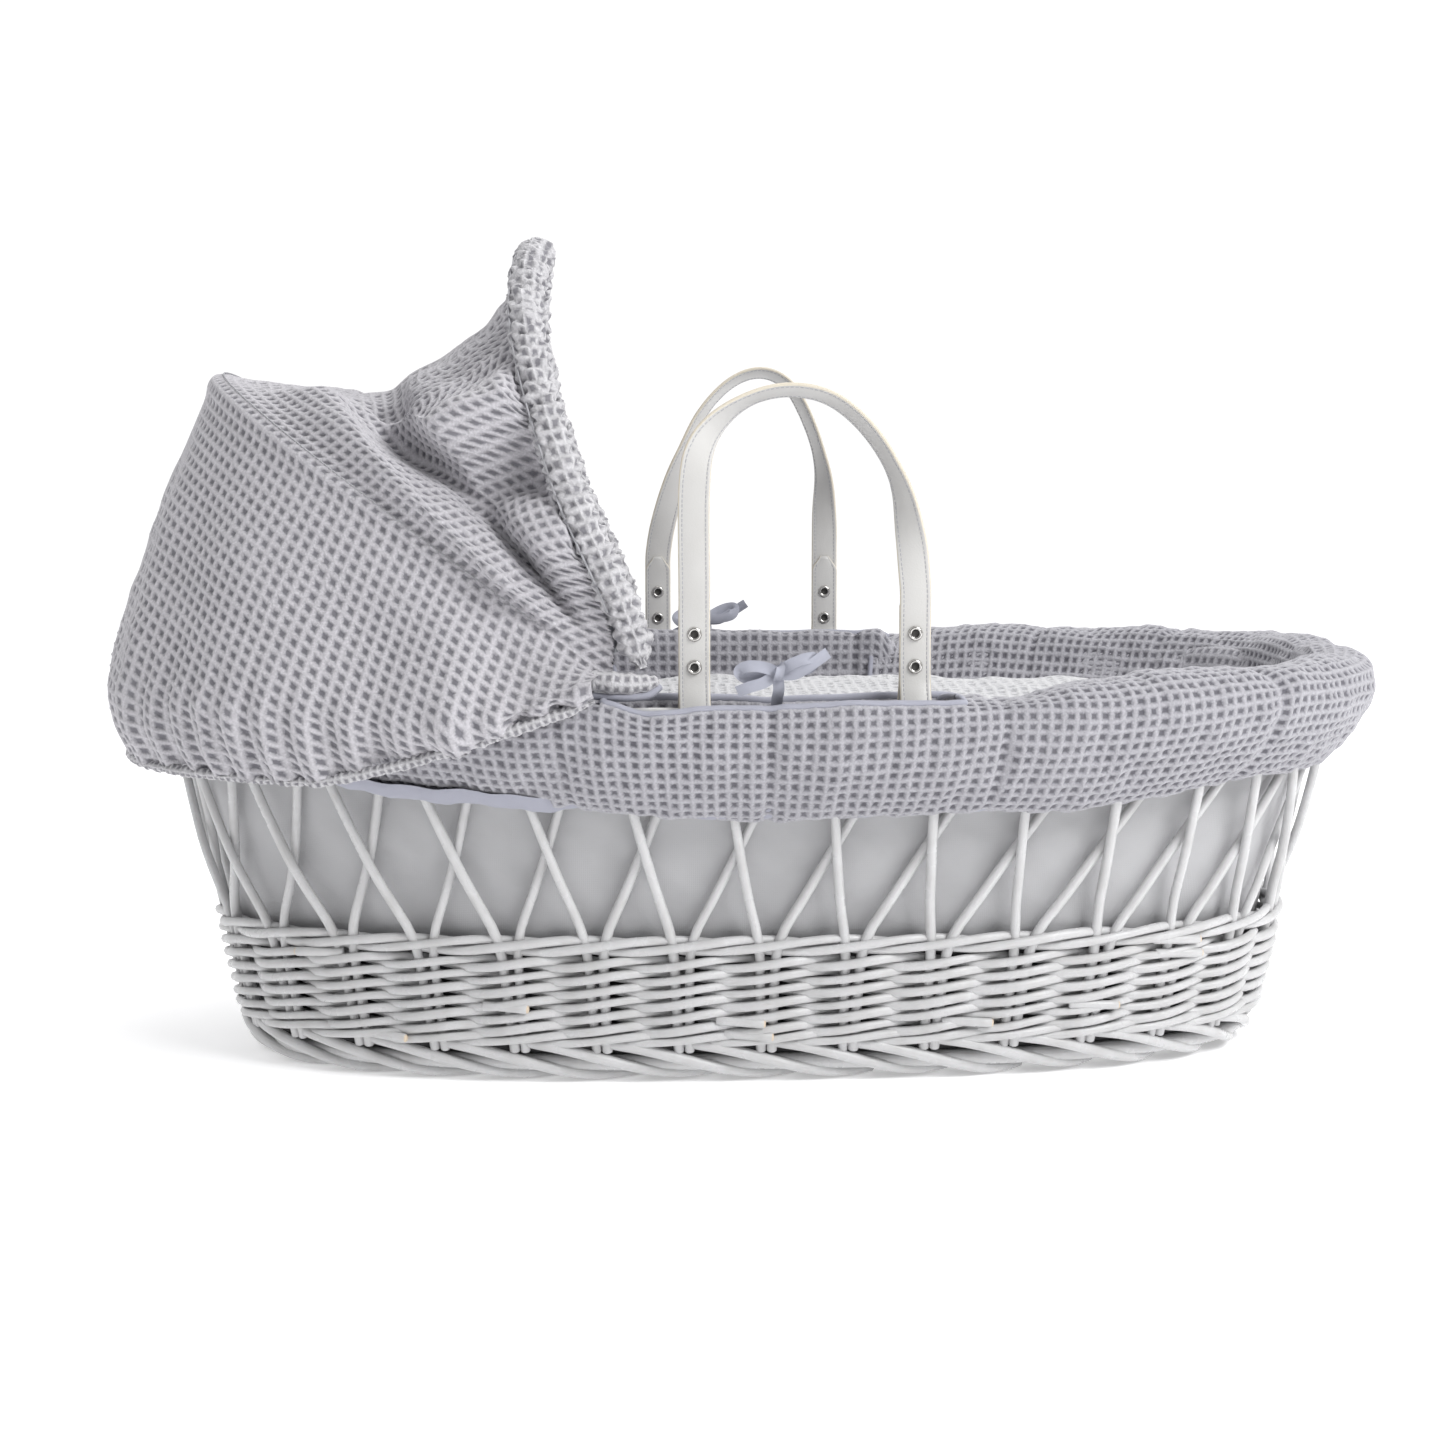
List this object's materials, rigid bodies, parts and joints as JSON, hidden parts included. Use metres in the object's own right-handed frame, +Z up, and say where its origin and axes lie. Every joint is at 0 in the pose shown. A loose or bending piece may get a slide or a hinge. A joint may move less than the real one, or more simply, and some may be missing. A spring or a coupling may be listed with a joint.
{
  "type": "moses basket",
  "caption": "Woven willow moses basket with a padded waffle dressing, a folding two-hoop hood, a mattress, a coverlet and two swinging strap handles.",
  "frame": {"origin": "centre of the underside of the woven base, which stands on the floor", "axes": "+X towards the foot end, away from the hood; +Y towards the far side; +Z up"},
  "size_m": [0.8878, 0.5115, 0.5631],
  "materials": {
    "willow": "gloss white paint",
    "cotton": "plain woven cotton",
    "waffle": "grey waffle cotton",
    "quilt": "light grey waffle cotton",
    "binding": "blue-grey plain cotton tape",
    "leather": "white leatherette, satin",
    "nickel": "polished nickel",
    "steel": "bright wire"
  },
  "bodies": {
    "root": {"woven_base": "willow", "foot_border": "willow", "side_weave": "willow", "top_wale": "willow", "stake_trellis": "willow", "rim_border": "willow", "lining": "cotton", "inner_padding": "waffle", "outer_skirt": "waffle", "skirt_binding": "binding", "mattress": "cotton", "coverlet": "quilt", "near_tie_bow": "binding", "far_tie_bow": "binding", "hood_rear_panel": "waffle", "hood_elastic_hem": "waffle", "near_hood_pin": "steel", "far_hood_pin": "steel"},
    "hood_rear": {"rear_hoop": "steel", "hood_middle_panel": "waffle"},
    "hood_front": {"front_hoop": "steel", "hood_front_hem": "waffle"},
    "near_handle": {"near_handle": "leather", "near_rivet_1": "nickel", "near_rivet_2": "nickel", "near_rivet_3": "nickel", "near_rivet_4": "nickel"},
    "far_handle": {"far_handle": "leather", "far_rivet_1": "nickel", "far_rivet_2": "nickel", "far_rivet_3": "nickel", "far_rivet_4": "nickel"}
  },
  "joints": [
    {"name": "hood_rear_fold", "type": "hinge", "parent": "root", "child": "hood_rear", "pos_m": [-0.094, 0, 0.27], "axis": [0, -1, 0], "range_deg": [0, 14], "deforming": ["hood_rear_panel"]},
    {"name": "hood_front_fold", "type": "hinge", "parent": "hood_rear", "child": "hood_front", "pos_m": [-0.094, 0, 0.27], "axis": [0, -1, 0], "range_deg": [0, 23], "deforming": ["hood_middle_panel"]},
    {"name": "near_handle_swing", "type": "hinge", "parent": "root", "child": "near_handle", "pos_m": [0.0205, -0.2125, 0.25], "axis": [1, 0, 0], "range_deg": [-25, 25]},
    {"name": "far_handle_swing", "type": "hinge", "parent": "root", "child": "far_handle", "pos_m": [0.0055, 0.2125, 0.25], "axis": [-1, 0, 0], "range_deg": [-25, 25]}
  ]
}
